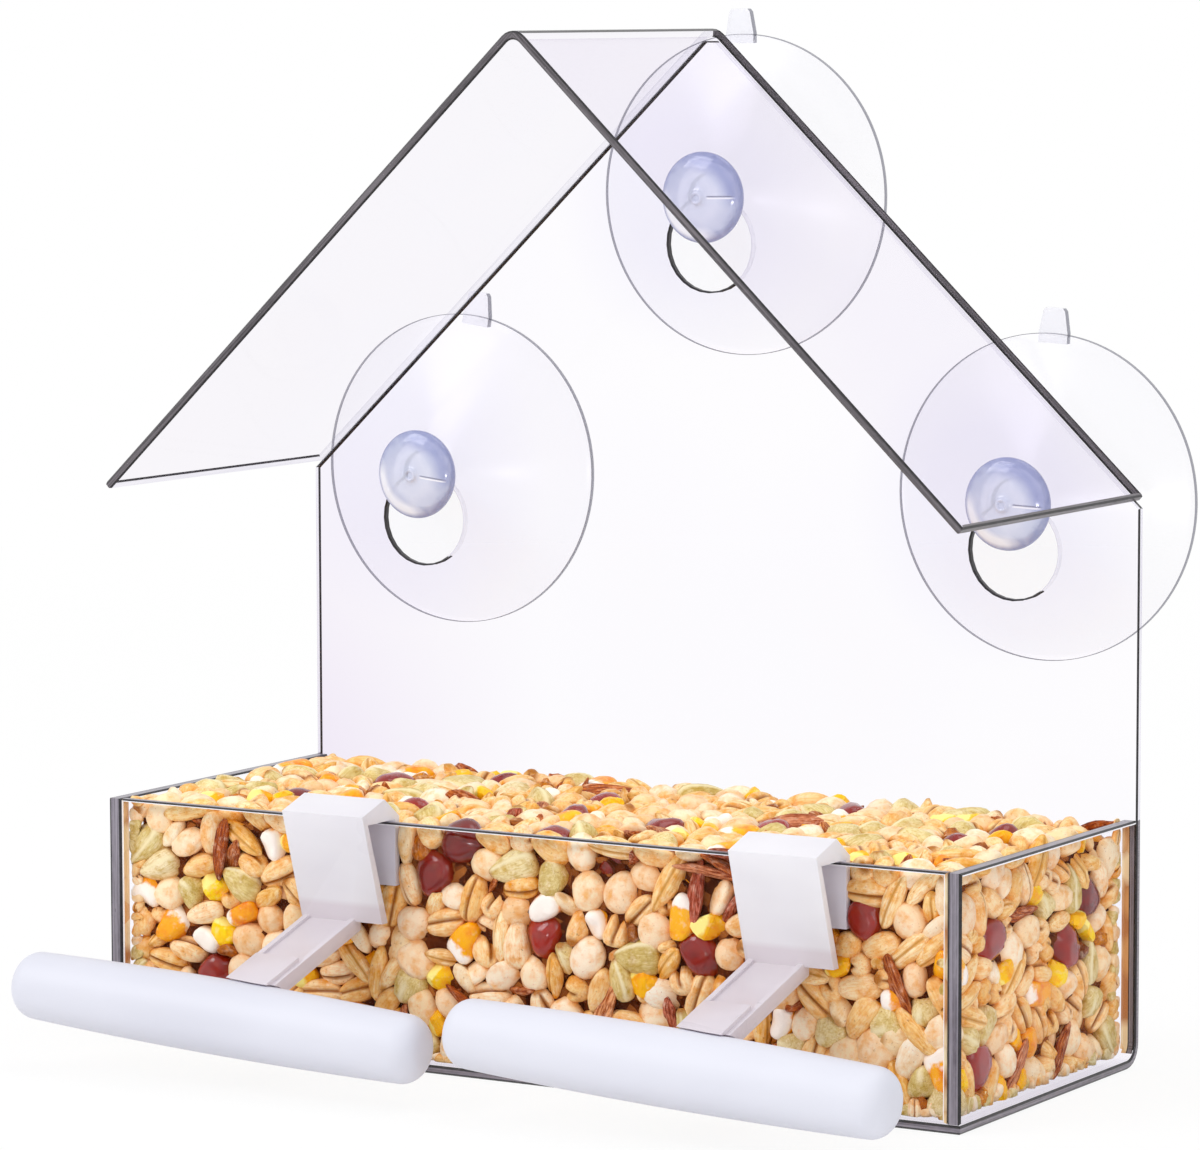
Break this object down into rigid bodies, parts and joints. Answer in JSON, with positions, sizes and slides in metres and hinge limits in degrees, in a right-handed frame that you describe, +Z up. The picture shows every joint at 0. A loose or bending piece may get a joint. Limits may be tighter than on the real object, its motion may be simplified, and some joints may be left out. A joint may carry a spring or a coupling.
{
  "type": "window bird feeder",
  "caption": "Clear gabled house with an open front and sides, a tray of bird seed, clip-on perches, and suction cups in keyholes that hold it on a window pane.",
  "frame": {"origin": "middle of the underside of the floor", "axes": "+Z up, +Y from the open front towards the window pane, +X to the right seen from the front"},
  "size_m": [0.1584, 0.1013, 0.161],
  "materials": {
    "acrylic": "clear, polished faces, grey saw-cut edges",
    "cup_vinyl": "clear soft vinyl with a faint lavender tint",
    "clip_plastic": "translucent, softly moulded",
    "bar_plastic": "smooth white, soft gloss",
    "seed": "mixed dry seeds"
  },
  "bodies": {
    "house": {"back_and_floor_sheet": "acrylic", "front_panel": "acrylic", "left_side_panel": "acrylic", "right_side_panel": "acrylic", "roof_sheet": "acrylic", "seed_mix": "seed"},
    "left_cup": {"left_suction_cup": "cup_vinyl"},
    "right_cup": {"right_suction_cup": "cup_vinyl"},
    "top_cup": {"top_suction_cup": "cup_vinyl"},
    "left_perch": {"left_perch_clip": "clip_plastic", "left_perch_bar": "bar_plastic"},
    "right_perch": {"right_perch_clip": "clip_plastic", "right_perch_bar": "bar_plastic"}
  },
  "joints": [
    {"name": "left_cup_slide", "type": "slide", "parent": "house", "child": "left_cup", "axis": [0, 0, 1], "range_m": [-0.0074, 0]},
    {"name": "right_cup_slide", "type": "slide", "parent": "house", "child": "right_cup", "axis": [0, 0, 1], "range_m": [-0.0074, 0]},
    {"name": "top_cup_slide", "type": "slide", "parent": "house", "child": "top_cup", "axis": [0, 0, 1], "range_m": [-0.0074, 0]},
    {"name": "left_perch_lift", "type": "slide", "parent": "house", "child": "left_perch", "axis": [0, 0, 1], "range_m": [0, 0.016]},
    {"name": "right_perch_lift", "type": "slide", "parent": "house", "child": "right_perch", "axis": [0, 0, 1], "range_m": [0, 0.016]}
  ]
}
